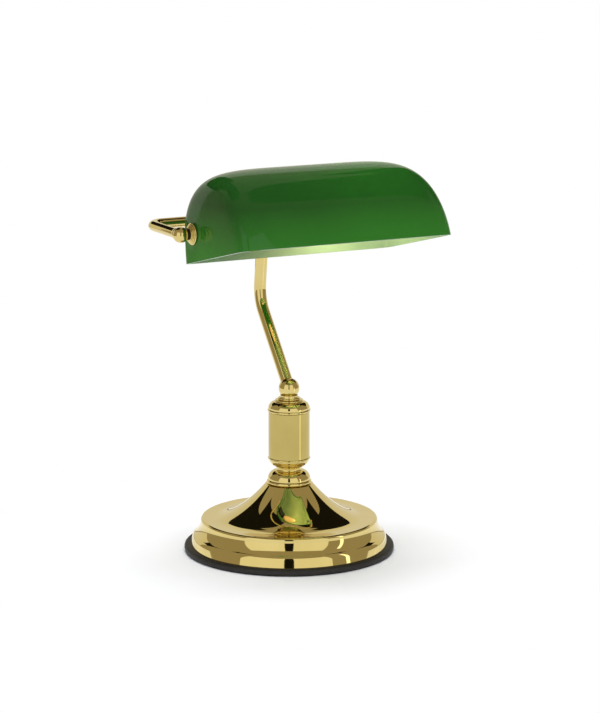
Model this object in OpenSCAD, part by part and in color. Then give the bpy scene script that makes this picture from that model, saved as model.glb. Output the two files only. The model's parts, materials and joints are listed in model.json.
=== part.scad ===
// Banker's desk lamp: a round stepped brass foot, a short turned column, a bent arm
// with a U-shaped yoke, and a tilting green glass shade over a small lampholder.
// Origin: centre of the foot on the surface that it stands on. +Z is up, +X is to the
// right along the shade, and the shade's long front edge faces -Y.

/* [Foot] */
// Outer radius of the black rubber rim under the foot
rim_r = 100; // [90:1:110]
// Height of the rubber rim
rim_h = 6.6; // [5:0.1:8]
// Height of the plate inside the upper edge of the foot
plate_z = 32; // [28:0.5:36]
// Radius of the upper edge of the foot
plate_r = 84.2; // [76:0.2:86]
// Height of the top of the trumpet-shaped cone
cone_top_z = 64.6; // [58:0.2:70]
// Radius of the top of the cone
cone_top_r = 22.6; // [21:0.2:26]
// Thickness of the spun brass sheet
sheet_t = 1.2; // [0.8:0.1:1.6]

/* [Column] */
// Outer radius of the plain sleeve
sleeve_r = 19.6; // [17:0.2:22]
// Height of the sleeve's lower end
sleeve_z0 = 90.6; // [88:0.2:94]
// Height of the sleeve's upper end
sleeve_z1 = 134.5; // [120:0.5:140]
// Radius of the ball at the foot of the arm
ball_r = 9.8; // [8.5:0.1:11]
// Outer radius of the hollow threaded stem
stem_r = 5; // [4:0.5:6]

/* [Arm and yoke] */
// Outer radius of the bent arm tube
arm_r = 5.8; // [5:0.1:7]
// Backward lean of the lower part of the arm, degrees from vertical
lean_low = 39.4; // [30:0.2:45]
// Forward lean of the upper part of the arm, degrees from vertical
lean_high = 7.2; // [0:0.2:12]
// Radius of the arm's bend, on its centre line
arm_bend_r = 35; // [20:1:60]
// Outer radius of the yoke tube
yoke_r = 4.8; // [4:0.1:6]
// Radius of the yoke's corner bends, on the centre line
yoke_bend_r = 14; // [10:1:20]
// Distance from the middle to each pivot ball
pivot_x = 119.8; // [115:0.2:128]
// Forward position of the tilt axis
pivot_y = -18.3; // [-25:0.1:-12]
// Height of the tilt axis
pivot_z = 314.6; // [305:0.2:325]
// Radius of each pivot ball
pivot_ball_r = 7.3; // [6:0.1:8.5]

/* [Shade] */
// Half of the length of the glass
glass_l = 107.6; // [100:0.2:108.4]
// Depth of the glass from its rear wall to its front edge
glass_d = 131; // [120:0.5:140]
// Height of the glass above its opening
glass_h = 79.6; // [76:0.2:86]
// Thickness of the glass
glass_t = 3.2; // [2.5:0.1:4]
// Backward tilt of the opening at rest, degrees
glass_tilt = 13.7; // [8:0.1:20]
// Distance from the rear wall to the tilt axis
pivot_back = 28.6; // [24:0.2:34]
// Distance from the opening to the tilt axis
pivot_up = 25.8; // [22:0.2:30]

/* [Hidden] */
$fn = 64;

// The wall's curve: a hollow arc under the plate's edge, then a full arc, then a plain band
edge_z = 29.6;
hollow_r = 17.2;
hollow_c = [101.43, 29.91];
full_r = 8.05;
full_c = [84.87, 10.85];
band_r = 94;
// Stem and passages
stem_bore_r = 3.6;
stem_z0 = 9;
stem_clear = 0.1;
lead_r = 1.9;
passage_r = 3;
// Heights along the column
collar_z1 = 77.8;
cap_z1 = 144.6;
lower_washer_z1 = 146.2;
upper_washer_z1 = 148.2;
neck_z1 = 150.8;
ball_z = 156.8;
// Arm: two straight runs that meet at a virtual corner
turn = lean_low + lean_high;
arm_bore_r = 4.4;
yoke_y = 52.4;
arm_start = 6.5;
tee_gap = yoke_r + 0.6;
rise = pivot_z - ball_z;
low_run = (yoke_y * cos(lean_high) + rise * sin(lean_high)) / sin(turn);
high_run = (rise - low_run * cos(lean_low)) / cos(lean_high);
arm_cut = arm_bend_r * tan(turn / 2);
// Yoke
yoke_bore_r = 3.6;
yoke_start = 4.6;
side_run = yoke_y - pivot_y - yoke_start - yoke_bend_r;
rear_run = 2 * (pivot_x - yoke_bend_r);
// Pivot stack, measured outward from the glass
nipple_r = 4;
nipple_bore_r = 2.6;
run_clear = 0.05;
rub_gap = 0.15;
washer_t = 0.4;
flange_x0 = glass_l + rub_gap + washer_t;
collar_x1 = flange_x0 + 4.2;
bush_r = 6.4;
glass_in = glass_l - glass_t;
bush_flange_t = 1.2;
nut_x1 = glass_in - bush_flange_t - rub_gap - 1;
nut_x0 = nut_x1 - 4;
// Lampholder and bulb, along the tilt axis
holder_x0 = -nut_x0;
holder_r = 14;
bulb_r = 17.5;
// Glass outline: the rear wall and top meet in a small arc, the front is one long arc
rear_arc = 46;
end_arc = 36;
front_corner = 14;
rear_corner = 6;

function arc(c, r, a0, a1, n = 6) =
    [for (i = [0:n]) c + r * [cos(a0 + (a1 - a0) * i / n), sin(a0 + (a1 - a0) * i / n)]];
function moved(pts, d) = [for (p = pts) p + d];
function backwards(pts) = [for (i = [len(pts) - 1:-1:0]) pts[i]];

// A round rod of radius r that follows straight runs and bends.
// Each run is [length, bend angle, roll of the run and bend, bend radius].
module run(r, segs, i = 0) {
    if (i < len(segs)) {
        s = segs[i];
        rotate([0, 0, s[2]]) {
            cylinder(r = r, h = s[0]);
            translate([0, 0, s[0]]) {
                if (s[1] > 0)
                    translate([s[3], 0, 0]) rotate([90, 0, 180])
                        rotate_extrude(angle = s[1]) translate([s[3], 0]) circle(r = r);
                translate([s[3] * (1 - cos(s[1])), 0, s[3] * sin(s[1])])
                    rotate([0, s[1], 0]) run(r, segs, i + 1);
            }
        }
    }
}

// A turned ring between two heights with a centre hole
module ring(ro, ri, z0, z1) {
    translate([0, 0, z0]) difference() {
        cylinder(r = ro, h = z1 - z0);
        translate([0, 0, -1]) cylinder(r = ri, h = z1 - z0 + 2);
    }
}

// A washer, tube or disc on the tilt axis, between two positions along X
module on_axis(ro, ri, x0, x1) {
    translate([x0, pivot_y, pivot_z]) rotate([0, 90, 0]) difference() {
        cylinder(r = ro, h = x1 - x0);
        if (ri > 0) translate([0, 0, -1]) cylinder(r = ri, h = x1 - x0 + 2);
    }
}

// The same thing at both ends of the shade
module both_ends() {
    children();
    mirror([1, 0, 0]) children();
}

module floor_pad() {
    color("#3a3a36") cylinder(r = 91.4, h = 3.2);
}

module rubber_rim() {
    color("#1b1a18") rotate_extrude() polygon(concat(
        [[92, 0]],
        arc([rim_r - 2.6, 2.6], 2.6, -90, 0),
        arc([rim_r - 2.6, rim_h - 2.6], 2.6, 0, 90),
        [[92, rim_h]]));
}

module bottom_plate() {
    color("#8c8f92") difference() {
        ring(91.6, 12, 3.2, 4.7);
        for (a = [60:120:300]) rotate([0, 0, a]) translate([55, 0, 2])
            cylinder(r = 2.2, h = 4);
    }
}

module base_weight() {
    color("#4a4a4c") difference() {
        union() {
            ring(80, 24, 4.7, 27);
            ring(26, stem_r + stem_clear, 20, 27);
        }
        translate([-18, 20, 0]) cube([36, 68, 40]);
    }
}

// Outer outline of the spun foot, from its bottom edge to the hole for the stem
foot_wall = concat(
    [[band_r, rim_h]],
    arc(full_c, full_r, 12, 49, 8),
    arc(hollow_c, hollow_r, 229, 184.7, 12),
    arc([plate_r - 2.4, edge_z], 2.4, 0, 90, 6));
flare_r1 = 70;
cone_flare = [for (i = [0:14]) let (s = i / 14)
    [flare_r1 + (cone_top_r - flare_r1) * s,
     plate_z - 0.3 + (cone_top_z - plate_z + 0.3) * pow(s, 1.67)]];
foot_outside = concat(foot_wall, [[plate_r - 6, plate_z - 0.3]], cone_flare,
    [[stem_r + stem_clear, cone_top_z]]);
foot_inside = concat([[band_r - sheet_t, rim_h]],
    moved([for (i = [1:len(foot_outside) - 2]) foot_outside[i]], [-sheet_t, -sheet_t]),
    [[stem_r + stem_clear, cone_top_z - sheet_t]]);
cord_z = 12.8;

module base_shell() {
    color("#c9a94f") difference() {
        rotate_extrude() polygon(concat(foot_outside, backwards(foot_inside)));
        translate([0, 80, cord_z]) rotate([-90, 0, 0]) cylinder(r = 4.4, h = 30);
    }
}

module cord_grommet() {
    color("#20201e") translate([0, 84.6, cord_z]) rotate([-90, 0, 0]) difference() {
        union() {
            cylinder(r = 5.4, h = 2.2);
            cylinder(r = 4.3, h = 14);
            translate([0, 0, 12]) cylinder(r = 5.4, h = 2);
        }
        translate([0, 0, -1]) cylinder(r = 3.2, h = 16);
    }
}

module cord_clamp() {
    color("#d8d4c6") translate([-13, 66, 4.7]) difference() {
        union() {
            cube([26, 9, 5.4]);
            translate([3, 0, 5.4]) cube([20, 9, 7]);
        }
        translate([13, -1, 7.4]) rotate([-90, 0, 0]) cylinder(r = 3.2, h = 12);
        for (x = [5.4, 20.6]) translate([x, 4.5, 2]) cylinder(r = 1.7, h = 12);
    }
}

module clamp_screws() {
    color("#b9bcc0") for (x = [-7.6, 7.6]) translate([x, 70.5, 0]) {
        translate([0, 0, 6.8]) cylinder(r = 1.6, h = 10.3);
        translate([0, 0, 17.1]) cylinder(r = 2.8, h = 1.8);
    }
}

module terminal_block() {
    color("#e6e2d6") translate([-15, 44, 4.7]) difference() {
        union() {
            cube([30, 14, 6]);
            translate([2, 2, 6]) cube([26, 10, 7]);
        }
        for (x = [6, 15, 24]) {
            translate([x, -1, 6]) rotate([-90, 0, 0]) cylinder(r = 1.8, h = 16);
            translate([x, 7, 6]) cylinder(r = 1.6, h = 8);
        }
    }
}

module stem_rod() {
    color("#a8a9a6") ring(stem_r, stem_bore_r, stem_z0, neck_z1 + 1.8);
}

module stem_nut() {
    color("#a8a9a6") translate([0, 0, 13]) difference() {
        cylinder(r = 9.8, h = 5.2, $fn = 6);
        translate([0, 0, -1]) cylinder(r = stem_r + stem_clear, h = 8);
    }
}

module stem_washer() {
    color("#b9bcc0") ring(12, stem_r + stem_clear, 18.2, 20);
}

module distance_tube() {
    color("#a8a9a6") ring(8, stem_r + stem_clear, 27, cone_top_z - sheet_t);
}

// A turned brass piece: an outline of radius and height, bored for the stem
module turned(pts, bore = stem_r + stem_clear) {
    rotate_extrude() polygon(concat([[bore, pts[0][1]]], pts, [[bore, pts[len(pts) - 1][1]]]));
}

module foot_collar() {
    color("#cdae55") turned(concat(
        arc([19.2, cone_top_z + 2.1], 2.1, -90, 90),
        arc([11.4, cone_top_z + 4.4], 8.9, 0, 84)));
}

module column_cup() {
    color("#cdae55") turned(concat(
        arc([13.7, collar_z1 + 1.64], 1.9, 238, 180, 4),
        arc([11, sleeve_z0 - 1], 8.2, -78, 0),
        arc([19.2, sleeve_z0 - 1], 1, -60, 90)));
}

module column_sleeve() {
    color("#c4a75a") ring(sleeve_r, sleeve_r - 1.4, sleeve_z0, sleeve_z1);
}

module column_cap() {
    color("#cdae55") turned(concat(
        [[sleeve_r - 0.6, sleeve_z1]],
        arc([19, sleeve_z1 + 1.4], 1.4, -70, 70),
        arc([12.4, cap_z1 - 7.4], 7.4, 12, 90)));
}

module lower_cap_washer() {
    color("#cdae55") turned(arc([12.6, (cap_z1 + lower_washer_z1) / 2], 0.8, -90, 90));
}

module upper_cap_washer() {
    color("#cdae55") turned(arc([9.8, (lower_washer_z1 + upper_washer_z1) / 2], 1, -90, 90));
}

module neck_collar() {
    color("#cdae55") turned(concat(
        [[9, upper_washer_z1], [9, upper_washer_z1 + 0.4]],
        arc([10.8, upper_washer_z1 + 1.4], 2.4, 214, 158, 4),
        [[8.2, neck_z1]]));
}

// Frame at the ball's centre with +Z along the lower part of the arm
module arm_frame() {
    translate([0, 0, ball_z]) rotate([-lean_low, 0, 0]) children();
}

module arm_ball() {
    color("#cdae55") difference() {
        intersection() {
            translate([0, 0, ball_z]) sphere(r = ball_r);
            translate([-20, -20, neck_z1]) cube([40, 40, 40]);
        }
        translate([0, 0, neck_z1 - 1]) cylinder(r = stem_r + stem_clear, h = 3);
        translate([0, 0, neck_z1 - 1]) cylinder(r = stem_bore_r, h = 6);
        arm_frame() cylinder(r = passage_r, h = 12);
        translate([0, 0, ball_z]) sphere(r = 4);
        arm_frame() translate([0, 0, arm_start]) cylinder(r = arm_r, h = 12);
    }
}

// Points of a flat bend from lean a0 to lean a1: [across, up, lean]
function bend(p, a0, a1, rad, n = 10) = let (k = a1 > a0 ? rad : -rad)
    [for (i = [0:n]) let (a = a0 + (a1 - a0) * i / n)
        [p[0] + k * (cos(a0) - cos(a)), p[1] + k * (sin(a) - sin(a0)), a]];
// A station of a swept tube: its centre and the two axes of its ring
function station(p, t, u) = [p, u, cross(t, u)];
function in_side_plane(pts) =
    [for (p = pts) station([0, p[0], p[1]], [0, sin(p[2]), cos(p[2])], [1, 0, 0])];
function low_point(s) = [s * sin(lean_low), ball_z + s * cos(lean_low)];
function arm_bend(n) = bend(low_point(low_run - arm_cut), lean_low, -lean_high, arm_bend_r, n);
function high_point(s) = [yoke_y + s * sin(lean_high), pivot_z - s * cos(lean_high)];

// A swept tube through stations, solid when ri is 0
module swept(st, ro, ri, sides) {
    n = len(st);
    rings = [for (r = ri > 0 ? [ro, ri] : [ro], s = st, j = [0:sides - 1])
        let (a = 360 * j / sides) s[0] + r * (cos(a) * s[1] + sin(a) * s[2])];
    function o(i, j) = i * sides + j % sides;
    function b(i, j) = (n + i) * sides + j % sides;
    walls = [for (i = [0:n - 2], j = [0:sides - 1])
        [o(i, j), o(i + 1, j), o(i + 1, j + 1), o(i, j + 1)]];
    bore = [for (i = [0:n - 2], j = [0:sides - 1])
        [b(i, j), b(i, j + 1), b(i + 1, j + 1), b(i + 1, j)]];
    rims = [for (j = [0:sides - 1], e = [0, 1]) e == 0
        ? [o(0, j), o(0, j + 1), b(0, j + 1), b(0, j)]
        : [b(n - 1, j), b(n - 1, j + 1), o(n - 1, j + 1), o(n - 1, j)]];
    caps = [[for (j = [0:sides - 1]) o(0, j)], [for (j = [sides - 1:-1:0]) o(n - 1, j)]];
    polyhedron(rings, ri > 0 ? concat(walls, bore, rims) : concat(walls, caps));
}

module arm_tube() {
    color("#c9a94f") swept(in_side_plane(concat(
        [concat(low_point(arm_start), lean_low)], arm_bend(12),
        [concat(high_point(tee_gap), -lean_high)])), arm_r, arm_bore_r, 36);
}

// Frame at the middle of the rear of the yoke with +Z down along the arm
module tee_frame() {
    translate([0, yoke_y, pivot_z]) rotate([180 + lean_high, 0, 0]) children();
}

module arm_tee() {
    color("#c9a94f") difference() {
        union() {
            translate([-11, yoke_y, pivot_z]) rotate([0, 90, 0]) cylinder(r = 6.6, h = 22);
            tee_frame() cylinder(r = 7.4, h = 14);
        }
        translate([-12, yoke_y, pivot_z]) rotate([0, 90, 0]) cylinder(r = yoke_r, h = 24);
        tee_frame() cylinder(r = passage_r, h = 12);
        tee_frame() translate([0, 0, tee_gap]) cylinder(r = arm_r, h = 12);
    }
}

// The yoke's centre line, from the left pivot ball round to the right one
module yoke_path(r, more = 0) {
    translate([-pivot_x, pivot_y + yoke_start - more, pivot_z]) rotate([-90, 0, 0])
        run(r, [[side_run + more, 90, 0, yoke_bend_r], [rear_run, 90, 0, yoke_bend_r],
            [side_run + more, 0, 0, 0]]);
}

module yoke_tube() {
    color("#c9a94f") difference() {
        yoke_path(yoke_r);
        yoke_path(yoke_bore_r, 1);
        tee_frame() cylinder(r = passage_r, h = 8);
    }
}

// A ball that closes the end of the yoke, with a collar on the tube
module pivot_ball() {
    difference() {
        union() {
            rotate([0, -90, 0]) rotate_extrude() polygon(concat([[0, -pivot_ball_r]],
                arc([0, 0], pivot_ball_r, -86, 86, 24), [[0, pivot_ball_r]]));
            rotate([-90, 0, 0]) cylinder(r = 5.7, h = 9);
        }
        rotate([-90, 0, 0]) cylinder(r = passage_r, h = 6);
        translate([0, yoke_start, 0]) rotate([-90, 0, 0]) cylinder(r = yoke_r, h = 12);
        translate([-3.8, 0, 0]) rotate([0, 90, 0]) cylinder(r = nipple_r, h = 16);
    }
}

module pivot_ball_left() {
    color("#cdae55") translate([-pivot_x, pivot_y, pivot_z]) pivot_ball();
}

module pivot_ball_right() {
    color("#cdae55") translate([pivot_x, pivot_y, pivot_z]) mirror([1, 0, 0]) pivot_ball();
}

module pivot_nipple() {
    color("#b9a15a") on_axis(nipple_r, nipple_bore_r, -pivot_x + 4.6, -nut_x0 + 3);
}

module pivot_pin() {
    color("#b9a15a") on_axis(nipple_r, 0, nut_x0 - 1.5, pivot_x - 4.6);
}

module spacer_washers() {
    color("#2a2925") both_ends()
        on_axis(5.4, nipple_r, collar_x1, pivot_x - pivot_ball_r + 1.1);
}

// Four steps that grow towards the glass
module stepped_collar() {
    on_axis(6.8, nipple_r, flange_x0 + 3.3, collar_x1);
    on_axis(7.9, nipple_r, flange_x0 + 2.4, flange_x0 + 3.3);
    on_axis(9, nipple_r, flange_x0 + 1.3, flange_x0 + 2.4);
    on_axis(10.2, nipple_r, flange_x0, flange_x0 + 1.3);
}

module stepped_collar_right() {
    color("#d0b25c") stepped_collar();
}

module stepped_collar_left() {
    color("#d0b25c") mirror([1, 0, 0]) stepped_collar();
}

module friction_washers() {
    color("#6b3d22") both_ends() on_axis(9.2, nipple_r, glass_l + rub_gap, flange_x0);
}

module inner_washers() {
    color("#b9bcc0") both_ends() on_axis(8.6, nipple_r, nut_x1, nut_x1 + 1);
}

module lock_nuts() {
    color("#b9a15a") both_ends()
        translate([nut_x0, pivot_y, pivot_z]) rotate([0, 90, 0]) difference() {
            cylinder(r = 7.6, h = nut_x1 - nut_x0, $fn = 6);
            translate([0, 0, -1]) cylinder(r = nipple_r, h = nut_x1 - nut_x0 + 2);
        }
}

// The supply lead, held all the way from the foot to the lampholder: up the stem and the
// arm, along the left half of the yoke, and through the nipple
elbow = 3;
ball_cut = elbow * tan(lean_low / 2);
up_arm = [0, -sin(lean_high), cos(lean_high)];
lead_up = in_side_plane(concat([[43.8, 6.8, -90]], bend([elbow, 6.8], -90, 0, elbow, 4),
    bend([0, ball_z - ball_cut], 0, lean_low, elbow, 3), arm_bend(6)));
lead_turn = [for (p = bend([0, -elbow], 0, -90, elbow, 4)) station(
    [0, yoke_y, pivot_z] + p[0] * [1, 0, 0] + p[1] * up_arm,
    [sin(p[2]), 0, 0] + cos(p[2]) * up_arm, cos(p[2]) * [1, 0, 0] - sin(p[2]) * up_arm)];
lead_left = [for (p = concat(
    bend([yoke_bend_r - pivot_x, yoke_y], -90, -180, yoke_bend_r, 6),
    bend([-pivot_x, pivot_y + elbow], -180, -270, elbow, 4),
    [[-nut_x0 + 5, pivot_y, -270]]))
    station([p[0], p[1], pivot_z], [sin(p[2]), cos(p[2]), 0], [0, 0, 1])];

module inner_lead() {
    color("#e9e6dc") swept(concat(lead_up, lead_turn, lead_left), lead_r, 0, 8);
}

module holder_cap() {
    color("#171614") difference() {
        union() {
            on_axis(10.6, 0, holder_x0, holder_x0 + 5);
            on_axis(12.6, 0, holder_x0 + 5, holder_x0 + 16);
        }
        on_axis(nipple_r, 0, holder_x0 - 1, holder_x0 + 8);
        on_axis(10.8, 0, holder_x0 + 7, holder_x0 + 17);
    }
}

module holder_body() {
    color("#171614") difference() {
        union() {
            on_axis(holder_r, 0, holder_x0 + 16, holder_x0 + 44);
            on_axis(12, 0, holder_x0 + 44, holder_x0 + 52);
        }
        on_axis(8.6, 0, holder_x0 + 20, holder_x0 + 54);
        on_axis(passage_r, 0, holder_x0 + 15, holder_x0 + 21);
    }
}

module holder_ring() {
    color("#171614") on_axis(15.4, 12, holder_x0 + 44, holder_x0 + 48);
}

module holder_thread() {
    color("#c2a24a") on_axis(8.6, 7.7, holder_x0 + 24, holder_x0 + 48);
}

module holder_contact() {
    color("#c2a24a") union() {
        on_axis(5.5, 0, holder_x0 + 20, holder_x0 + 21.4);
        on_axis(2.2, 0, holder_x0 + 21.4, holder_x0 + 24.2);
    }
}

module bulb_cap() {
    color("#c0b48a") union() {
        on_axis(2.6, 0, holder_x0 + 24.2, holder_x0 + 26);
        on_axis(7, 0, holder_x0 + 26, holder_x0 + 50);
    }
}

// A candle-shaped bulb, turned about the tilt axis
module bulb_glass() {
    color("#f6e6b4") translate([holder_x0 + 50, pivot_y, pivot_z]) rotate([0, 90, 0])
        rotate_extrude() polygon(concat(
            [[0, 0], [7, 0], [8, 4]],
            [for (i = [1:12]) [8 + (bulb_r - 8) * pow(sin(i * 7.5), 1.1), 4 + i * 2.4]],
            [for (i = [1:14]) [bulb_r * pow(cos(i * 90 / 14), 0.85), 32.8 + 42 * sin(i * 90 / 14)]]));
}

// Frame of the glass: origin on the tilt axis, +Z square to the opening, -Y to the front
module glass_frame() {
    translate([0, pivot_y, pivot_z]) rotate([-glass_tilt, 0, 0])
        translate([0, pivot_back, -pivot_up]) children();
}

// Side outline of the glass, g inside the outer face
module side_outline(g) {
    d = glass_d - g;
    h = glass_h - g;
    r1 = rear_arc - g;
    r2 = (pow(glass_d - rear_arc, 2) + pow(glass_h, 2)) / (2 * glass_h) - g;
    low = g > 0 ? -10 : 0;
    union() {
        translate([g, low]) square([r1, h - r1 - low]);
        intersection() {
            translate([rear_arc, h - r1]) circle(r = r1);
            translate([g, h - r1]) square([r1, r1]);
        }
        intersection() {
            translate([rear_arc, h - r2]) circle(r = r2);
            translate([rear_arc, low]) square([d - rear_arc, h - low]);
        }
    }
}

// End outline: a rectangle with two large upper corners
module end_outline(g) {
    l = glass_l - g;
    h = glass_h - g;
    r = end_arc - g;
    low = g > 0 ? -10 : 0;
    translate([-l, low]) square([2 * l, h - r - low]);
    translate([-l + r, h - r]) square([2 * (l - r), r]);
    for (s = [-1, 1]) translate([s * (l - r), h - r]) circle(r = r);
}

// Plan outline: a rectangle with rounded corners
module plan_outline(g) {
    l = glass_l - g;
    rf = front_corner - g;
    rr = rear_corner - g;
    front = glass_d + 1 - g;
    translate([-l, g + rr]) square([2 * l, front - g - rr - rf]);
    translate([-l + rf, front - rf]) square([2 * (l - rf), rf]);
    translate([-l + rr, g]) square([2 * (l - rr), rr]);
    for (s = [-1, 1]) {
        translate([s * (l - rf), front - rf]) circle(r = rf);
        translate([s * (l - rr), g + rr]) circle(r = rr);
    }
}

module glass_block(g) {
    intersection() {
        translate([-150, 0, 0]) rotate([90, 0, -90]) mirror([0, 0, 1])
            linear_extrude(300) side_outline(g);
        translate([0, 20, 0]) rotate([90, 0, 0]) linear_extrude(200) end_outline(g);
        translate([0, 0, -20]) mirror([0, 1, 0]) linear_extrude(150) plan_outline(g);
    }
}

module glass_shade() {
    color("#2f7a2c", 0.8) difference() {
        glass_frame() difference() {
            glass_block(0);
            glass_block(glass_t);
        }
        on_axis(bush_r, 0, -glass_l - 5, glass_l + 5);
    }
}

// A bush in the glass that turns on the nipple or pin
module glass_bush() {
    difference() {
        union() {
            on_axis(bush_r, 0, glass_in, glass_l);
            on_axis(9.4, 0, glass_in - bush_flange_t, glass_in);
        }
        on_axis(nipple_r + run_clear, 0, glass_in - 5, glass_l + 5);
    }
}

module glass_bush_right() {
    color("#efece2") glass_bush();
}

module glass_bush_left() {
    color("#efece2") mirror([1, 0, 0]) glass_bush();
}

floor_pad();
rubber_rim();
bottom_plate();
base_weight();
base_shell();
cord_grommet();
cord_clamp();
clamp_screws();
terminal_block();
stem_rod();
stem_nut();
stem_washer();
distance_tube();
foot_collar();
column_cup();
column_sleeve();
column_cap();
lower_cap_washer();
upper_cap_washer();
neck_collar();
arm_ball();
arm_tube();
arm_tee();
yoke_tube();
pivot_ball_left();
pivot_ball_right();
pivot_nipple();
pivot_pin();
spacer_washers();
stepped_collar_left();
stepped_collar_right();
friction_washers();
inner_washers();
lock_nuts();
inner_lead();
holder_cap();
holder_body();
holder_ring();
holder_thread();
holder_contact();
bulb_cap();
bulb_glass();
glass_shade();
glass_bush_left();
glass_bush_right();
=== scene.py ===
import json
import math

import bmesh
import bpy
from mathutils import Matrix, Vector


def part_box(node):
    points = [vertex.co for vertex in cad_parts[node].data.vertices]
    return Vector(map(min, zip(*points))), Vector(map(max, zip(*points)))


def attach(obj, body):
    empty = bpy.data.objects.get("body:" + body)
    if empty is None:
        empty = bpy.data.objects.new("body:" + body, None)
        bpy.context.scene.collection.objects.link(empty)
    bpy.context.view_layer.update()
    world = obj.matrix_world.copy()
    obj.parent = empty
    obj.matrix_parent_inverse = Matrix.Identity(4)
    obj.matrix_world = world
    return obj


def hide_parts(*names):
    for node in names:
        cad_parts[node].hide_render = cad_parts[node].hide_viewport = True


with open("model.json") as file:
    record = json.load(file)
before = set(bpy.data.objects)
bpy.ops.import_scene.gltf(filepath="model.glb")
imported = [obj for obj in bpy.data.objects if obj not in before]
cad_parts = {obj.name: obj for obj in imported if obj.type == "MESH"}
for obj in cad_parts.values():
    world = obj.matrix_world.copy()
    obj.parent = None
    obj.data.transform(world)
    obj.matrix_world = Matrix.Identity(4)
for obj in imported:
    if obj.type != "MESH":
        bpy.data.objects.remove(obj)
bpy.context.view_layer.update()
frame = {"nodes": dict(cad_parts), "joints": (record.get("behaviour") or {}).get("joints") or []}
nodes = frame["nodes"]
MM = 0.001
TAU = 2 * math.pi

# ---------------------------------------------------------------- camera
CAMERA_AZIMUTH = math.radians(27)
CAMERA_REACH = 2.632
CAMERA_HEIGHT = 0.72228
CAMERA_HEADING = math.radians(27.2261)
CAMERA_PITCH = math.radians(11.4901)
camera = bpy.data.objects.new("camera", bpy.data.cameras.new("camera"))
bpy.context.scene.collection.objects.link(camera)
camera.location = (-math.sin(CAMERA_AZIMUTH) * CAMERA_REACH,
                   -math.cos(CAMERA_AZIMUTH) * CAMERA_REACH, CAMERA_HEIGHT)
camera.rotation_euler = (math.pi / 2 - CAMERA_PITCH, 0, -CAMERA_HEADING)
camera.data.sensor_width = 36
camera.data.lens = 143.74
camera.data.clip_end = 50
bpy.context.scene.camera = camera
bpy.context.scene.view_settings.view_transform = "Standard"


# ---------------------------------------------------------------- finishes
def new_finish(name):
    """A node material with a name, and its main shader."""
    finish = bpy.data.materials.new(name)
    finish.use_nodes = True
    tree = finish.node_tree
    return finish, tree, tree.nodes["Principled BSDF"]


def object_pattern(tree, scale, detail=3.0, stretch=(1, 1, 1)):
    """Noise fixed to the piece itself, as a value from 0 to 1."""
    place = tree.nodes.new("ShaderNodeTexCoord")
    mapping = tree.nodes.new("ShaderNodeMapping")
    mapping.inputs["Scale"].default_value = stretch
    noise = tree.nodes.new("ShaderNodeTexNoise")
    noise.inputs["Scale"].default_value = scale
    noise.inputs["Detail"].default_value = detail
    tree.links.new(place.outputs["Object"], mapping.inputs["Vector"])
    tree.links.new(mapping.outputs["Vector"], noise.inputs["Vector"])
    return noise.outputs["Fac"]


def two_tones(tree, shader, fac, dark, light, low=0.35, high=0.65):
    """Runs the colour from one tone to the other as fac goes from low to high."""
    ramp = tree.nodes.new("ShaderNodeValToRGB")
    ramp.color_ramp.elements[0].position = low
    ramp.color_ramp.elements[1].position = high
    ramp.color_ramp.elements[0].color = (*dark, 1)
    ramp.color_ramp.elements[1].color = (*light, 1)
    tree.links.new(fac, ramp.inputs["Fac"])
    tree.links.new(ramp.outputs["Color"], shader.inputs["Base Color"])


def varied_roughness(tree, shader, fac, low, high):
    """Lets the roughness wander between two limits."""
    spread = tree.nodes.new("ShaderNodeMapRange")
    spread.inputs["To Min"].default_value = low
    spread.inputs["To Max"].default_value = high
    tree.links.new(fac, spread.inputs["Value"])
    tree.links.new(spread.outputs["Result"], shader.inputs["Roughness"])


def relief(tree, shader, fac, strength, distance):
    """A shallow surface texture that follows fac."""
    bump = tree.nodes.new("ShaderNodeBump")
    bump.inputs["Strength"].default_value = strength
    bump.inputs["Distance"].default_value = distance
    tree.links.new(fac, bump.inputs["Height"])
    tree.links.new(bump.outputs["Normal"], shader.inputs["Normal"])


def metal(name, dark, light, rough, grain=240.0, stretch=(1, 1, 1)):
    """A metal with a slight drift of colour and of polish."""
    finish, tree, shader = new_finish(name)
    shader.inputs["Metallic"].default_value = 1.0
    two_tones(tree, shader, object_pattern(tree, 26.0), dark, light)
    fine = object_pattern(tree, grain, 4.0, stretch)
    varied_roughness(tree, shader, fine, *rough)
    return finish


def plain(name, dark, light, rough, grain=300.0, bump=0.15):
    """A finish that isn't metal, with a fine grain."""
    finish, tree, shader = new_finish(name)
    fine = object_pattern(tree, grain, 4.0)
    two_tones(tree, shader, fine, dark, light)
    varied_roughness(tree, shader, fine, *rough)
    relief(tree, shader, fine, bump, 0.0001)
    return finish


polished = metal("polished_brass", (0.68, 0.545, 0.205), (0.72, 0.585, 0.235), (0.03, 0.05))
# A darker copy of the polished brass for the sleeve: painted shade that stands for the dim
# surroundings the sleeve reflects.
shaded_sleeve_brass = metal("satin_brass", (0.50, 0.395, 0.125), (0.54, 0.43, 0.145), (0.05, 0.065),
              700.0, (1, 1, 0.02))
turned_brass = metal("turned_brass", (0.60, 0.46, 0.20), (0.68, 0.53, 0.25), (0.2, 0.3))
zinc = metal("zinc_plate", (0.50, 0.51, 0.53), (0.62, 0.63, 0.65), (0.25, 0.38))
iron = plain("cast_iron", (0.05, 0.05, 0.055), (0.09, 0.09, 0.095), (0.6, 0.8), 700.0, 0.5)
rubber = plain("black_rubber", (0.006, 0.005, 0.004), (0.014, 0.012, 0.009), (0.5, 0.65))
felt = plain("felt", (0.015, 0.015, 0.014), (0.05, 0.05, 0.046), (0.9, 1.0), 1800.0, 0.8)
bakelite = plain("black_moulding", (0.006, 0.006, 0.006), (0.014, 0.013, 0.012), (0.2, 0.3))
white_moulding = plain("white_moulding", (0.62, 0.60, 0.54), (0.72, 0.70, 0.64), (0.4, 0.5))
fibre = plain("fibre_washer", (0.10, 0.045, 0.02), (0.16, 0.08, 0.04), (0.7, 0.85), 900.0, 0.5)
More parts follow.
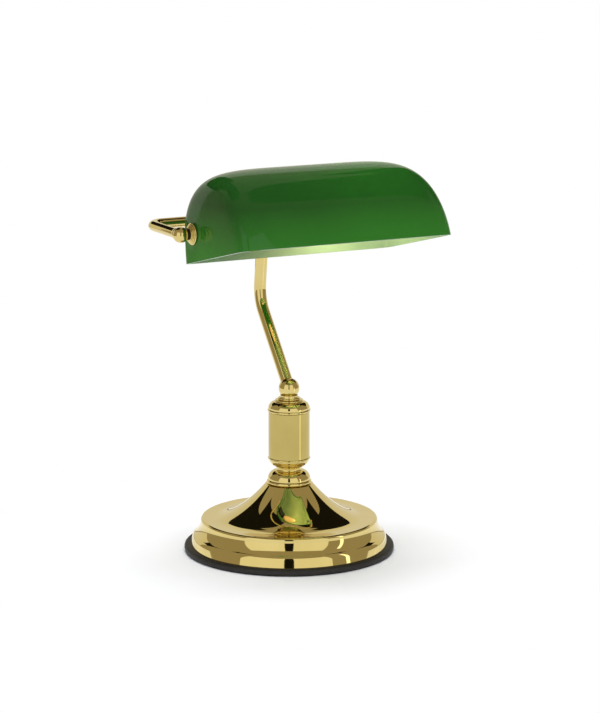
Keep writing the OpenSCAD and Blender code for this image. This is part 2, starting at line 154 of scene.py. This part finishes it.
sheath = plain("lead_sheath", (0.58, 0.55, 0.48), (0.68, 0.65, 0.58), (0.45, 0.55))


def green_glass():
    """Green cased glass that lets some light through, with painted glow and painted shade in its
    colour: paler towards its opening, darker at the top.
    """
    finish, tree, shader = new_finish("green_glass")
    place = tree.nodes.new("ShaderNodeTexCoord")
    axes = tree.nodes.new("ShaderNodeSeparateXYZ")
    # Height in the piece runs the green from light low down, towards the opening, to dark at the top:
    # painted glow and painted shade, with a little random cloud of tone mixed in.
    height = tree.nodes.new("ShaderNodeMapRange")
    height.inputs["From Min"].default_value = 0.295
    height.inputs["From Max"].default_value = 0.362
    cloud = object_pattern(tree, 9.0, 2.0)
    tone_cloud_and_painted_glow = tree.nodes.new("ShaderNodeMath")
    tone_cloud_and_painted_glow.operation = "MULTIPLY_ADD"
    tone_cloud_and_painted_glow.inputs[1].default_value = 0.16
    tree.links.new(place.outputs["Object"], axes.inputs[0])
    tree.links.new(axes.outputs["Z"], height.inputs["Value"])
    tree.links.new(cloud, tone_cloud_and_painted_glow.inputs[0])
    tree.links.new(height.outputs["Result"], tone_cloud_and_painted_glow.inputs[2])
    # The first tone, the lighter green low down, is painted glow; the second, the dark green at the
    # top, is painted shade.
    two_tones(tree, shader, tone_cloud_and_painted_glow.outputs[0], (0.052, 0.285, 0.032), (0.013, 0.054, 0.010),
              0.05, 0.85)
    shader.inputs["Roughness"].default_value = 0.04
    shader.inputs["IOR"].default_value = 1.45
    shader.inputs["Specular IOR Level"].default_value = 0.3
    relief(tree, shader, object_pattern(tree, 14.0, 1.0), 0.15, 0.0005)
    glow = tree.nodes.new("ShaderNodeBsdfTranslucent")
    glow.inputs["Color"].default_value = (0.05, 0.40, 0.04, 1)
    mix = tree.nodes.new("ShaderNodeMixShader")
    mix.inputs["Fac"].default_value = 0.22
    out = tree.nodes["Material Output"]
    tree.links.new(shader.outputs["BSDF"], mix.inputs[1])
    tree.links.new(glow.outputs["BSDF"], mix.inputs[2])
    tree.links.new(mix.outputs["Shader"], out.inputs["Surface"])
    return finish


def white_lining():
    """The milky glass inside the shade."""
    finish, tree, shader = new_finish("white_lining")
    cloud = object_pattern(tree, 12.0, 2.0)
    two_tones(tree, shader, cloud, (0.44, 0.60, 0.38), (0.52, 0.68, 0.45))
    shader.inputs["Roughness"].default_value = 0.12
    shader.inputs["IOR"].default_value = 1.52
    glow = tree.nodes.new("ShaderNodeBsdfTranslucent")
    glow.inputs["Color"].default_value = (0.5, 0.8, 0.4, 1)
    mix = tree.nodes.new("ShaderNodeMixShader")
    mix.inputs["Fac"].default_value = 0.4
    out = tree.nodes["Material Output"]
    tree.links.new(shader.outputs["BSDF"], mix.inputs[1])
    tree.links.new(glow.outputs["BSDF"], mix.inputs[2])
    tree.links.new(mix.outputs["Shader"], out.inputs["Surface"])
    return finish


def lit_bulb():
    """Frosted glass with a faint warm glow."""
    finish, tree, shader = new_finish("frosted_bulb")
    cloud = object_pattern(tree, 60.0, 2.0)
    two_tones(tree, shader, cloud, (0.90, 0.74, 0.42), (0.95, 0.82, 0.52))
    shader.inputs["Roughness"].default_value = 0.35
    shader.inputs["Emission Color"].default_value = (1.0, 0.44, 0.08, 1)
    shader.inputs["Emission Strength"].default_value = 0.4
    return finish


glass = green_glass()
lining = white_lining()
bulb_finish = lit_bulb()


# ---------------------------------------------------------------- making pieces
def arc(cx, cy, r, start, end, steps=10):
    """Points of an arc, angles in degrees."""
    return [(cx + r * math.cos(math.radians(start + (end - start) * i / steps)),
             cy + r * math.sin(math.radians(start + (end - start) * i / steps)))
            for i in range(steps + 1)]


def piece(name, bm, finishes, body, stands_for, sharp=35):
    """Makes a smooth-shaded object from a bmesh in millimetres and puts it in the frame."""
    bmesh.ops.remove_doubles(bm, verts=bm.verts, dist=0.0005)
    bmesh.ops.recalc_face_normals(bm, faces=bm.faces)
    bmesh.ops.scale(bm, vec=(MM, MM, MM), verts=bm.verts)
    for face in bm.faces:
        face.smooth = True
    for edge in bm.edges:
        if len(edge.link_faces) == 2 and edge.calc_face_angle(0) > math.radians(sharp):
            edge.smooth = False
    mesh = bpy.data.meshes.new(name)
    bm.to_mesh(mesh)
    bm.free()
    made = bpy.data.objects.new(name, mesh)
    bpy.context.scene.collection.objects.link(made)
    for one in finishes if isinstance(finishes, list) else [finishes]:
        mesh.materials.append(one)
    if stands_for:
        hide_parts(*stands_for)
    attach(made, body)
    return made


def spun(bm, outline, centre=(0, 0, 0), axis="z", steps=128, closed=True):
    """Spins an outline of (radius, height) points about an axis through centre."""
    ring = [bm.verts.new((max(r, 0.0), 0, z)) for r, z in outline]
    pairs = list(zip(ring, ring[1:]))
    if closed:
        pairs.append((ring[-1], ring[0]))
    edges = [bm.edges.new(p) for p in pairs]
    turned = bmesh.ops.spin(bm, geom=ring + edges, cent=(0, 0, 0), axis=(0, 0, 1),
                            angle=TAU, steps=steps, use_merge=True)
    verts = list({v for v in bm.verts if v.is_valid and v.tag is False})
    turn = {"z": Matrix.Identity(3), "x": Matrix.Rotation(math.pi / 2, 3, "Y"),
            "y": Matrix.Rotation(-math.pi / 2, 3, "X"),
            "-x": Matrix.Rotation(-math.pi / 2, 3, "Y")}.get(axis, axis)
    bmesh.ops.rotate(bm, verts=verts, cent=(0, 0, 0), matrix=turn)
    bmesh.ops.translate(bm, verts=verts, vec=centre)
    for v in verts:
        v.tag = True
    return turned


def turned_piece(name, outline, finish, stands_for, centre=(0, 0, 0), axis="z",
                 steps=128):
    """A piece of the stand made by one full spin of a closed outline."""
    bm = bmesh.new()
    spun(bm, outline, centre, axis, steps)
    return piece(name, bm, finish, "stand", stands_for)


def swept_run(bm, radius, start, runs, sides=48):
    """A round rod that follows straight runs and bends: (length, angle, side, bend radius)."""
    ring = bmesh.ops.create_circle(bm, cap_ends=False, segments=sides, radius=radius)["verts"]
    place = start.copy()
    bmesh.ops.transform(bm, matrix=place, verts=ring)
    loop = list({e for v in ring for e in v.link_edges})
    bmesh.ops.contextual_create(bm, geom=loop)
    for length, angle, side, bend in runs:
        if length > 0:
            step = bmesh.ops.extrude_edge_only(bm, edges=loop)["geom"]
            new = [g for g in step if isinstance(g, bmesh.types.BMVert)]
            loop = [g for g in step if isinstance(g, bmesh.types.BMEdge)
                    and all(v in new for v in g.verts)]
            along = place.to_3x3() @ Vector((0, 0, length))
            bmesh.ops.translate(bm, verts=new, vec=along)
            place = Matrix.Translation(along) @ place
        if angle:
            place = place @ Matrix.Rotation(math.radians(side), 4, "Z")
            centre = place @ Vector((bend, 0, 0))
            axis = place.to_3x3() @ Vector((0, 1, 0))
            verts = list({v for e in loop for v in e.verts})
            out = bmesh.ops.spin(bm, geom=verts + loop, cent=centre, axis=axis,
                                 angle=math.radians(angle), steps=max(6, int(angle / 5)))
            last = out["geom_last"]
            loop = [g for g in last if isinstance(g, bmesh.types.BMEdge)]
            place = (Matrix.Translation(centre) @ Matrix.Rotation(math.radians(angle), 4, axis)
                     @ Matrix.Translation(-centre) @ place)
    bmesh.ops.contextual_create(bm, geom=loop)
    return place


def copy_of(node, finish, body="stand", sharp=30):
    """A CAD node's own shape with its doubles merged, so that its curves shade smoothly."""
    bm = bmesh.new()
    bm.from_mesh(nodes[node].data)
    bmesh.ops.scale(bm, vec=(1000, 1000, 1000), verts=bm.verts)
    return piece(node + "_smooth", bm, finish, body, [node], sharp)


def span(node):
    """Lowest and highest corner of a CAD node, in millimetres."""
    low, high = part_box(node)
    return low * 1000, high * 1000


# ---------------------------------------------------------------- foot
rim_high = span("rubber_rim")[1]
RIM_R, RIM_H = rim_high.x, rim_high.z
RIM_INNER_R, RIM_ROUND = 92, 2.6
shell_high = span("base_shell")[1]
BAND_R, CONE_Z = shell_high.x, shell_high.z
SHEET = 1.2
PLATE_R, PLATE_Z = 84.2, 32.0
PLATE_EDGE = 2.4
ROLL_R, ROLL_Z, ROLL_SIZE = 84.87, 10.85, 8.05
HOLLOW_R, HOLLOW_Z, HOLLOW_SIZE = 101.43, 29.91, 17.2
CONE_SAG = 0.3
CONE_CURVE = 1.67
CONE_R, FLARE_R, STEM_R = 22.6, 70.0, 5.1


def foot_outline():
    """The sheet's outer side: a rolled wall, a flat plate, and a cone that flares into it."""
    wall = [(BAND_R, RIM_H)] + arc(ROLL_R, ROLL_Z, ROLL_SIZE, 12, 49, 20)
    wall += arc(HOLLOW_R, HOLLOW_Z, HOLLOW_SIZE, 229, 184.7, 32)
    wall += arc(PLATE_R - PLATE_EDGE, PLATE_Z - PLATE_EDGE, PLATE_EDGE, 0, 90, 12)
    flare = [(PLATE_R - 6, PLATE_Z - CONE_SAG)]
    for i in range(41):
        s = i / 40
        flare.append((FLARE_R + (CONE_R - FLARE_R) * s,
                      PLATE_Z - CONE_SAG + (CONE_Z - PLATE_Z + CONE_SAG) * s ** CONE_CURVE))
    return wall + flare + [(STEM_R, CONE_Z)]


outside = foot_outline()
inside = [(BAND_R - SHEET, RIM_H)] + [(r - SHEET, z - SHEET) for r, z in outside[1:-1]]
inside += [(STEM_R, CONE_Z - SHEET)]
turned_piece("spun_foot", outside + inside[::-1], polished, ["base_shell"],
             steps=192)
turned_piece("foot_rim", [(RIM_INNER_R, 0)] + arc(RIM_R - RIM_ROUND, RIM_ROUND, RIM_ROUND, -90, 0)
             + arc(RIM_R - RIM_ROUND, RIM_H - RIM_ROUND, RIM_ROUND, 0, 90)
             + [(RIM_INNER_R, RIM_H)],
             rubber, ["rubber_rim"], steps=160)

# ---------------------------------------------------------------- column
collar_low, collar_high = span("foot_collar")
C0, C1 = collar_low.z, collar_high.z
turned_piece("waisted_collar", [(STEM_R, C0)] + arc(19.2, C0 + 2.1, 2.1, -90, 90, 16)
             + arc(11.4, C0 + 4.4, 8.9, 0, 84, 20) + [(STEM_R, C1)],
             polished, ["foot_collar"])
sleeve_low, sleeve_high = span("column_sleeve")
S0, S1, SR = sleeve_low.z, sleeve_high.z, sleeve_high.x
cup_low = span("column_cup")[0].z
turned_piece("lower_cup", [(STEM_R, cup_low)] + arc(13.7, cup_low + 1.61, 1.9, 238, 180, 8)
             + arc(11, S0 - 1, 8.2, -78, 0, 20) + arc(19.2, S0 - 1, 1, -60, 90, 12)
             + [(STEM_R, S0)], polished, ["column_cup"])
# The sleeve takes the darker copy of the brass, which is painted shade.
turned_piece("plain_sleeve", [(SR, S0), (SR, S1), (SR - 1.4, S1), (SR - 1.4, S0)],
             shaded_sleeve_brass, ["column_sleeve"])
cap_high = span("column_cap")[1].z
turned_piece("domed_cap", [(STEM_R, S1), (SR - 0.6, S1)] + arc(19, S1 + 1.4, 1.4, -70, 70, 12)
             + arc(12.4, cap_high - 7.4, 7.4, 12, 90, 20) + [(STEM_R, cap_high)],
             polished, ["column_cap"])
for node, r in (("lower_cap_washer", 12.6), ("upper_cap_washer", 9.8)):
    low, high = span(node)
    half = (high.z - low.z) / 2
    turned_piece(node.replace("_cap", "_rounded"), [(STEM_R, low.z)]
                 + arc(r, low.z + half, half, -90, 90, 12) + [(STEM_R, high.z)],
                 polished, [node])
neck_low, neck_high = span("neck_collar")
N0, N1 = neck_low.z, neck_high.z
turned_piece("waisted_neck", [(STEM_R, N0), (9, N0), (9, N0 + 0.4)]
             + arc(10.8, N0 + 1.4, 2.4, 214, 158, 10)
             + [(8.2, N1), (STEM_R, N1)], polished, ["neck_collar"])

# ---------------------------------------------------------------- arm and yoke
pivot = Vector(frame["joints"][0]["pos_m"]) * 1000
LEAN_LOW, LEAN_HIGH, ARM_BEND = 39.4, 7.2, 35.0
BALL_Z, BALL_R, ARM_R, YOKE_Y, YOKE_R, YOKE_BEND = 156.8, 9.8, 5.8, 52.4, 4.8, 14.0
ARM_START, TEE_GAP = 6.5, 5.4
PIVOT_X, YOKE_START, KNOB_R = 119.8, 4.6, 7.3
TURN = LEAN_LOW + LEAN_HIGH
rise = pivot.z - BALL_Z
low_run = (YOKE_Y * math.cos(math.radians(LEAN_HIGH))
           + rise * math.sin(math.radians(LEAN_HIGH))) / math.sin(math.radians(TURN))
high_run = (rise - low_run * math.cos(math.radians(LEAN_LOW))) / math.cos(math.radians(LEAN_HIGH))
arm_cut = ARM_BEND * math.tan(math.radians(TURN / 2))

ball = bmesh.new()
bmesh.ops.create_uvsphere(ball, u_segments=96, v_segments=64, radius=BALL_R)
bmesh.ops.translate(ball, verts=ball.verts, vec=(0, 0, BALL_Z))
bmesh.ops.bisect_plane(ball, geom=ball.verts[:] + ball.edges[:] + ball.faces[:],
                       plane_co=(0, 0, N1), plane_no=(0, 0, -1), clear_outer=True)
bmesh.ops.contextual_create(ball, geom=[e for e in ball.edges if e.is_boundary])
piece("ball_knuckle", ball, polished, "stand", ["arm_ball"], 60)

arm = bmesh.new()
start = (Matrix.Translation((0, 0, BALL_Z)) @ Matrix.Rotation(math.radians(-LEAN_LOW), 4, "X")
         @ Matrix.Rotation(math.pi / 2, 4, "Z") @ Matrix.Translation((0, 0, ARM_START)))
swept_run(arm, ARM_R, start, [(low_run - arm_cut - ARM_START, TURN, 180, ARM_BEND),
                              (high_run - arm_cut - TEE_GAP, 0, 0, 0)], 64)
piece("bent_arm", arm, polished, "stand", ["arm_tube"], 60)

yoke = bmesh.new()
side_run = YOKE_Y - pivot.y - YOKE_START - YOKE_BEND
start = (Matrix.Translation((-PIVOT_X, pivot.y + YOKE_START, pivot.z))
         @ Matrix.Rotation(-math.pi / 2, 4, "X"))
swept_run(yoke, YOKE_R, start, [(side_run, 90, 0, YOKE_BEND),
                                (2 * (PIVOT_X - YOKE_BEND), 90, 0, YOKE_BEND),
                                (side_run, 0, 0, 0)], 64)
piece("bent_yoke", yoke, polished, "stand", ["yoke_tube"], 60)
copy_of("arm_tee", polished)

for side, name in ((-1, "left"), (1, "right")):
    here = (side * PIVOT_X, pivot.y, pivot.z)
    end = bmesh.new()
    spun(end, arc(0, 0, KNOB_R, -90, 42, 40) + [(5.7, 5.6), (5.7, 8.4), (5.3, 9), (4.8, 9), (0, 9)],
         here, "y", 96, closed=False)
    piece("pivot_knob_" + name, end, polished, "stand", ["pivot_ball_" + name],
          40)
    low, high = span("stepped_collar_" + name)
    x0 = side * min(abs(low.x), abs(high.x))
    steps = [(4, 0), (9.8, 0)] + arc(9.55, 0.65, 0.65, -60, 84, 8)
    for r, up, h in ((9.0, 1.3, 1.1), (7.9, 2.4, 0.9), (6.8, 3.3, 0.9)):
        steps += arc(r - h / 2, up + h / 2, h / 2, -50, 84, 6)
    steps += [(4, 4.2)]
    turned_piece("stepped_flange_" + name, steps, polished, ["stepped_collar_" + name],
                 (x0, pivot.y, pivot.z), "x" if side > 0 else "-x")


# ---------------------------------------------------------------- glass shade
GLASS_L, GLASS_D, GLASS_H, GLASS_T = 108.4, 131.1, 79.6, 3.2
GLASS_TILT, PIVOT_BACK, PIVOT_UP = 13.75, 28.6, 25.8
EDGE_SHARP_LOW, EDGE_SHARP_FALL, EDGE_SHARP_CURVE = 15.67, 9.6, 1.174
REAR_ARC = 49.0
FRONT_ARC = ((GLASS_D - REAR_ARC) ** 2 + GLASS_H ** 2) / (2 * GLASS_H)
CORE_V = 0.42 * GLASS_D
DRAFT = 0.037


def side_reach(v_dir, w_dir):
    """How far the side outline is from its core in one direction."""
    low, high = 0.0, 200.0
    for _ in range(24):
        reach = (low + high) / 2
        v, w = CORE_V + reach * v_dir, reach * w_dir
        if v < REAR_ARC:
            held = v > 0 and (w < GLASS_H - REAR_ARC
                              or math.hypot(v - REAR_ARC, w - GLASS_H + REAR_ARC) < REAR_ARC)
        else:
            held = math.hypot(v - REAR_ARC, w - GLASS_H + FRONT_ARC) < FRONT_ARC
        low, high = (reach, high) if held else (low, reach)
    return low


REACH = [side_reach(math.cos(i * math.pi / 360), math.sin(i * math.pi / 360)) for i in range(361)]


def side_gauge(v, w):
    """0 at the core of the side outline and 1 on the outline."""
    turn = math.atan2(max(w, 0.0), v - CORE_V) / math.pi * 360
    i = min(int(turn), 359)
    reach = REACH[i] + (REACH[i + 1] - REACH[i]) * (turn - i)
    return math.hypot(v - CORE_V, w) / reach


def in_glass(u, v, w):
    """True inside the shade's outer shape: sharper corners at the opening, rounder above."""
    rise = min(max(w / GLASS_H, 0.0), 1.0)
    sharp = EDGE_SHARP_LOW - EDGE_SHARP_FALL * rise ** EDGE_SHARP_CURVE
    return (abs(u) / (GLASS_L - DRAFT * w)) ** sharp + side_gauge(v, w) ** sharp < 1


def shade_body():
    """The outer skin of the shade, a cube's grid pushed out to the glass and cut open below."""
    bm = bmesh.new()
    bmesh.ops.create_cube(bm, size=2.0)
    bmesh.ops.subdivide_edges(bm, edges=bm.edges, cuts=47, use_grid_fill=True)
    for vert in bm.verts:
        d = Vector((vert.co.x * 1.6, vert.co.y, vert.co.z)).normalized()
        low, high = 0.0, 240.0
        for _ in range(22):
            mid = (low + high) / 2
            held = in_glass(d.x * mid, CORE_V + d.y * mid, abs(d.z) * mid)
            low, high = (mid, high) if held else (low, mid)
        vert.co = Vector((d.x * low, -(CORE_V + d.y * low), d.z * low))
    bmesh.ops.bisect_plane(bm, geom=bm.verts[:] + bm.edges[:] + bm.faces[:],
                           plane_co=(0, 0, 0), plane_no=(0, 0, -1), clear_outer=True)
    bmesh.ops.recalc_face_normals(bm, faces=bm.faces)
    return bm


shade = shade_body()
bmesh.ops.solidify(shade, geom=shade.faces[:], thickness=GLASS_T)
turn = (Matrix.Translation(pivot) @ Matrix.Rotation(math.radians(-GLASS_TILT), 4, "X")
        @ Matrix.Translation((0, PIVOT_BACK, -PIVOT_UP)))
centre = turn @ Vector((0, -CORE_V, 8))
bmesh.ops.transform(shade, matrix=turn, verts=shade.verts)
bmesh.ops.recalc_face_normals(shade, faces=shade.faces)
for face in shade.faces:
    if face.normal.dot(face.calc_center_median() - centre) < 0:
        face.material_index = 1
piece("green_shade", shade, [glass, lining], "shade", ["glass_shade"], 50)

# ---------------------------------------------------------------- bulb
bulb_low, bulb_high = span("bulb_glass")
bulb_len = bulb_high.x - bulb_low.x
BULB_NECK_R, BULB_R, BULB_WAIST = 7, 17.5, 33
outline = [(0, 0), (BULB_NECK_R, 0)]
outline += [(BULB_NECK_R + (BULB_R - BULB_NECK_R) * math.sin(t * math.pi / 40) ** 1.4, 3 + t * 1.5)
            for t in range(21)]
outline += [(BULB_R * math.cos(t * math.pi / 48) ** 0.85,
             BULB_WAIST + (bulb_len - BULB_WAIST) * math.sin(t * math.pi / 48))
            for t in range(1, 25)]
bulb = bmesh.new()
spun(bulb, outline, (bulb_low.x, pivot.y, pivot.z), "x", 64, closed=False)
piece("candle_bulb", bulb, bulb_finish, "stand", ["bulb_glass"], 60)

# ---------------------------------------------------------------- the other CAD pieces
plain_nodes = {
    "floor_pad": felt, "bottom_plate": zinc, "base_weight": iron, "cord_grommet": rubber,
    "cord_clamp": white_moulding, "clamp_screws": zinc, "terminal_block": white_moulding,
    "stem_rod": zinc, "stem_nut": zinc, "stem_washer": zinc, "distance_tube": zinc,
    "pivot_nipple": turned_brass, "pivot_pin": turned_brass, "spacer_washers": bakelite,
    "friction_washers": fibre, "inner_washers": zinc, "lock_nuts": turned_brass,
    "inner_lead": sheath, "holder_cap": bakelite, "holder_body": bakelite,
    "holder_ring": bakelite, "holder_thread": turned_brass, "holder_contact": turned_brass,
    "bulb_cap": turned_brass, "glass_bush_left": white_moulding,
    "glass_bush_right": white_moulding}
for node, finish in plain_nodes.items():
    mesh = nodes[node].data
    mesh.materials.clear()
    mesh.materials.append(finish)

# ---------------------------------------------------------------- floor and light
def stage_material(name, colour, strength=None):
    made = bpy.data.materials.new(name)
    made.use_nodes = True
    tree = made.node_tree
    tree.nodes.clear()
    out = tree.nodes.new("ShaderNodeOutputMaterial")
    kind = "ShaderNodeBsdfDiffuse" if strength is None else "ShaderNodeEmission"
    shader = tree.nodes.new(kind)
    shader.inputs["Color"].default_value = (*colour, 1)
    if strength is not None:
        shader.inputs["Strength"].default_value = strength
    tree.links.new(shader.outputs[0], out.inputs["Surface"])
    return made


def around(azimuth, elevation, reach=1.8):
    """A place round the lamp; azimuth 0 is where the camera stands, positive to its right."""
    a = math.radians(azimuth) - CAMERA_AZIMUTH
    e = math.radians(elevation)
    return Vector((math.sin(a) * math.cos(e), -math.cos(a) * math.cos(e), math.sin(e))) * reach


def stage_band(name, azimuths, elevations, material, reach=1.8):
    """A curved light card round the lamp, seen only in its reflections."""
    bm = bmesh.new()
    bmesh.ops.create_grid(bm, x_segments=16, y_segments=8, size=0.5)
    (a0, a1), (e0, e1) = azimuths, elevations
    for vert in bm.verts:
        vert.co = around(a0 + (a1 - a0) * (vert.co.x + 0.5), e0 + (e1 - e0) * (vert.co.y + 0.5),
                         reach)
    mesh = bpy.data.meshes.new(name)
    bm.to_mesh(mesh)
    bm.free()
    card = bpy.data.objects.new(name, mesh)
    bpy.context.scene.collection.objects.link(card)
    mesh.materials.append(material)
    card.visible_camera = False
    card.visible_diffuse = False
    card.visible_shadow = False
    card.visible_transmission = False
    return card


floor_mesh = bmesh.new()
bmesh.ops.create_circle(floor_mesh, cap_ends=True, segments=96, radius=1.7)
floor_data = bpy.data.meshes.new("floor")
floor_mesh.to_mesh(floor_data)
floor_mesh.free()
floor = bpy.data.objects.new("floor", floor_data)
bpy.context.scene.collection.objects.link(floor)


def floor_paper():
    """White paper that fades into the backdrop away from the lamp."""
    made = bpy.data.materials.new("floor_paper")
    made.use_nodes = True
    tree = made.node_tree
    tree.nodes.clear()
    out = tree.nodes.new("ShaderNodeOutputMaterial")
    paper = tree.nodes.new("ShaderNodeBsdfDiffuse")
    paper.inputs["Color"].default_value = (0.9, 0.905, 0.93, 1)
    clear = tree.nodes.new("ShaderNodeEmission")
    clear.inputs["Color"].default_value = (1, 1, 1, 1)
    place = tree.nodes.new("ShaderNodeTexCoord")
    reach = tree.nodes.new("ShaderNodeVectorMath")
    reach.operation = "LENGTH"
    fade = tree.nodes.new("ShaderNodeMapRange")
    fade.interpolation_type = "SMOOTHSTEP"
    fade.inputs["From Min"].default_value = 0.13
    fade.inputs["From Max"].default_value = 0.32
    mix = tree.nodes.new("ShaderNodeMixShader")
    tree.links.new(place.outputs["Object"], reach.inputs[0])
    tree.links.new(reach.outputs["Value"], fade.inputs["Value"])
    tree.links.new(fade.outputs["Result"], mix.inputs["Fac"])
    tree.links.new(paper.outputs[0], mix.inputs[1])
    tree.links.new(clear.outputs[0], mix.inputs[2])
    tree.links.new(mix.outputs[0], out.inputs["Surface"])
    return made


floor_data.materials.append(floor_paper())

bright = stage_material("bright_card", (1, 0.98, 0.92), 1.05)
black = stage_material("black_card", (0.01, 0.009, 0.007), 1.0)
stage_band("front_card_left", (-57, -5.6), (-4, 46), bright)
stage_band("front_card_right", (5.6, 50), (-4, 46), bright)
stage_band("front_gap", (-5.6, 5.6), (-4, 46), black)
stage_band("side_strip", (60, 64.5), (0.5, 36), stage_material("strip_card", (1, 1, 0.95), 2.0), 0.33)
stage_band("back_card", (125, 235), (2, 42), stage_material("back_card", (1, 0.95, 0.8), 0.82))
for side in (-1, 1):
    stage_band("high_flag", (side * 94, side * 158), (54, 80), black, 1.7)
    stage_band("low_flag", (side * 122, side * 166), (27, 54), black, 1.7)

lamp = bpy.data.lights.new("softbox", "AREA")
lamp.shape = "RECTANGLE"
lamp.size, lamp.size_y = 1.6, 1.6
lamp.energy = 52
top = bpy.data.objects.new("softbox", lamp)
top.location = (0.0, -0.1, 2.2)
top.visible_glossy = False
bpy.context.scene.collection.objects.link(top)

warm = bpy.data.lights.new("bulb_light", "POINT")
warm.energy = 0.2
warm.color = (1.0, 0.84, 0.58)
warm.shadow_soft_size = 0.016
inner = bpy.data.objects.new("bulb_light", warm)
inner.location = (bulb_low.x * MM + 0.093, pivot.y * MM - 0.022, pivot.z * MM)
inner.visible_glossy = False
bpy.context.scene.collection.objects.link(inner)

world = bpy.data.worlds.new("studio")
bpy.context.scene.world = world
world.use_nodes = True
tree = world.node_tree
tree.nodes.clear()
out = tree.nodes.new("ShaderNodeOutputWorld")
seen = tree.nodes.new("ShaderNodeBackground")
seen.inputs["Color"].default_value = (1, 1, 1, 1)
air = tree.nodes.new("ShaderNodeBackground")
air.inputs["Color"].default_value = (0.36, 0.36, 0.36, 1)
room = tree.nodes.new("ShaderNodeBackground")
room.inputs["Color"].default_value = (0.40, 0.345, 0.25, 1)
path = tree.nodes.new("ShaderNodeLightPath")
for_metal = tree.nodes.new("ShaderNodeMixShader")
mix = tree.nodes.new("ShaderNodeMixShader")
tree.links.new(path.outputs["Is Glossy Ray"], for_metal.inputs["Fac"])
tree.links.new(air.outputs[0], for_metal.inputs[1])
tree.links.new(room.outputs[0], for_metal.inputs[2])
tree.links.new(path.outputs["Is Camera Ray"], mix.inputs["Fac"])
tree.links.new(for_metal.outputs[0], mix.inputs[1])
tree.links.new(seen.outputs[0], mix.inputs[2])
tree.links.new(mix.outputs[0], out.inputs["Surface"])
